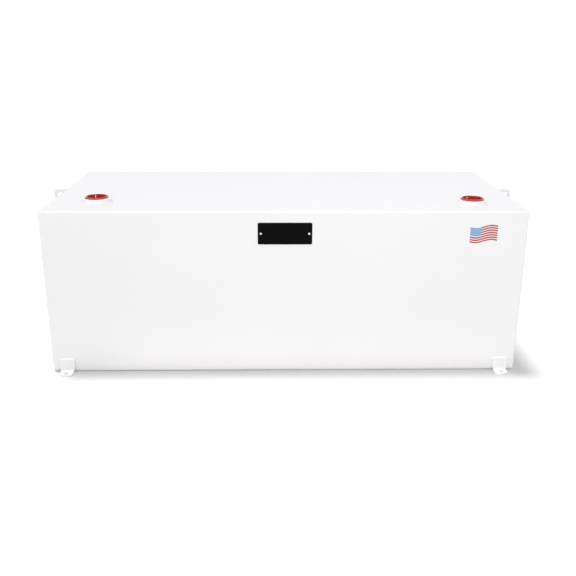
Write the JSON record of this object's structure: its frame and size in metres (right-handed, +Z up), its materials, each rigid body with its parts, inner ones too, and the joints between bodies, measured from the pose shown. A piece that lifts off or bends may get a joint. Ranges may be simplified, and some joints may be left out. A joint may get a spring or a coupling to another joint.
{
  "type": "truck bed transfer tank",
  "caption": "Rectangular white steel liquid transfer tank for a truck bed, with inner baffles, threaded top bungs closed by red plugs, bolt-down feet and lifting lugs.",
  "frame": {"origin": "on the floor under the middle of the tank", "axes": "+X along the long side to the right seen from the front, front wall facing -Y, +Z up"},
  "size_m": [1.2852, 0.6248, 0.4453],
  "materials": {
    "white_paint": "white powder coat over welded sheet steel, semi-gloss",
    "bare_steel": "bare mill steel inside the tank",
    "red_plastic": "glossy moulded red plastic",
    "black_plate": "black printed metal plate, satin",
    "stud_metal": "bright domed heads",
    "decal_film": "thin printed vinyl with waving red and white stripes and a blue field"
  },
  "bodies": {
    "tank": {"tank_wrap": "white_paint", "seam_weld": "white_paint", "end_panel_left": "white_paint", "end_panel_right": "white_paint", "end_weld_left": "white_paint", "end_weld_right": "white_paint", "bung_left": "white_paint", "bung_right": "white_paint", "bung_weld_left": "white_paint", "bung_weld_right": "white_paint", "lifting_lug_left": "white_paint", "lifting_lug_right": "white_paint", "lug_weld_left": "white_paint", "lug_weld_right": "white_paint", "foot_front_left": "white_paint", "foot_front_right": "white_paint", "foot_back_left": "white_paint", "foot_back_right": "white_paint", "foot_weld_front_left": "white_paint", "foot_weld_front_right": "white_paint", "foot_weld_back_left": "white_paint", "foot_weld_back_right": "white_paint", "baffle_left": "bare_steel", "baffle_right": "bare_steel", "nameplate": "black_plate", "nameplate_studs": "stud_metal", "striped_decal": "decal_film"},
    "plug_left": {"plug_left": "red_plastic"},
    "plug_right": {"plug_right": "red_plastic"}
  },
  "joints": [
    {"name": "plug_left_lift", "type": "slide", "parent": "tank", "child": "plug_left", "axis": [0, 0, 1], "range_m": [0, 0.06]},
    {"name": "plug_right_lift", "type": "slide", "parent": "tank", "child": "plug_right", "axis": [0, 0, 1], "range_m": [0, 0.06]}
  ]
}
